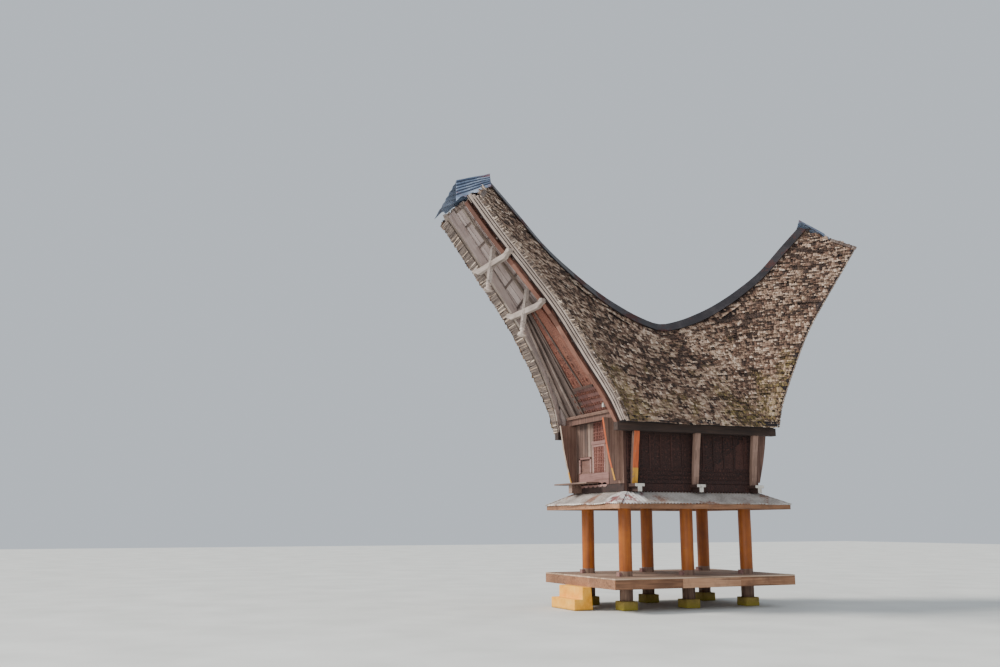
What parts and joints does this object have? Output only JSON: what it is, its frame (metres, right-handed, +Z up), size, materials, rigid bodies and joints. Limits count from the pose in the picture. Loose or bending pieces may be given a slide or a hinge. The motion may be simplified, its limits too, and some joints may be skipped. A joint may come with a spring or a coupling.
{
  "type": "tongkonan-style rice barn",
  "caption": "Traditional raised rice barn with round painted posts, a sitting platform, carved store walls, a skirt roof and a tall saddle roof with upswept prows.",
  "frame": {"origin": "on the ground under the centre of the plan, midway between the middle pair of posts", "axes": "+X across the building, to the right of a viewer who stands in front and faces the entrance, -Y to the entrance front, +Y along the ridge to the rear, +Z up"},
  "size_m": [3.32, 10.34, 9.069],
  "materials": {
    "footing_concrete": "rough mossy concrete",
    "painted_post": "worn orange ochre paint on round timber",
    "deck_wood": "weathered pinkish brown boards",
    "ochre_concrete": "painted concrete, yellow ochre",
    "dark_wood": "dark aged timber",
    "white_paint": "chalky white paint on timber",
    "carved_wood": "dark red brown carved boards",
    "worn_wood": "grey weathered boards",
    "pale_wood": "pale grey weathered timber",
    "strut_paint": "faded orange red paint with yellow feet",
    "shingle": "thick layers of aged split bamboo with moss",
    "ridge_metal": "dark ridge sheet with a rusty patch",
    "salmon_wood": "faded salmon red board",
    "roof_iron": "weathered corrugated sheet, blue grey",
    "skirt_iron": "rusty corrugated sheet, grey and pinkish"
  },
  "bodies": {
    "root": {"footing_front_left": "footing_concrete", "post_front_left": "painted_post", "footing_front_right": "footing_concrete", "post_front_right": "painted_post", "footing_middle_left": "footing_concrete", "post_middle_left": "painted_post", "footing_middle_right": "footing_concrete", "post_middle_right": "painted_post", "footing_rear_left": "footing_concrete", "post_rear_left": "painted_post", "footing_rear_right": "footing_concrete", "post_rear_right": "painted_post", "platform_deck": "deck_wood", "platform_frame": "deck_wood", "entrance_steps": "ochre_concrete", "floor_beam_left": "dark_wood", "floor_beam_right": "dark_wood", "cross_beam_front": "white_paint", "cross_beam_middle": "white_paint", "cross_beam_rear": "white_paint", "barn_floor": "dark_wood", "front_wall": "carved_wood", "rear_wall": "carved_wood", "left_wall": "carved_wood", "right_wall": "carved_wood", "hatch_panel": "worn_wood", "entry_ledge": "pale_wood", "strut_left_front": "strut_paint", "strut_right_front": "strut_paint", "strut_left_middle": "strut_paint", "strut_right_middle": "strut_paint", "strut_left_rear": "strut_paint", "strut_right_rear": "strut_paint", "strut_front_left": "strut_paint", "strut_front_right": "strut_paint", "strut_rear_left": "strut_paint", "strut_rear_right": "strut_paint", "eave_plate_left": "dark_wood", "roof_cover_front_left": "shingle", "roof_cover_rear_left": "shingle", "eave_plate_right": "dark_wood", "roof_cover_front_right": "shingle", "roof_cover_rear_right": "shingle", "ridge_strip_front": "ridge_metal", "ridge_strip_rear": "ridge_metal", "barge_board_front_left": "salmon_wood", "barge_board_front_right": "salmon_wood", "gable_front": "carved_wood", "crossbar_front_lower": "pale_wood", "crossbar_front_upper": "pale_wood", "prow_cap_front": "roof_iron", "barge_board_rear_left": "salmon_wood", "barge_board_rear_right": "salmon_wood", "gable_rear": "carved_wood", "crossbar_rear_lower": "pale_wood", "crossbar_rear_upper": "pale_wood", "prow_cap_rear": "roof_iron", "skirt_roof": "skirt_iron", "skirt_frame": "dark_wood"}
  },
  "joints": []
}
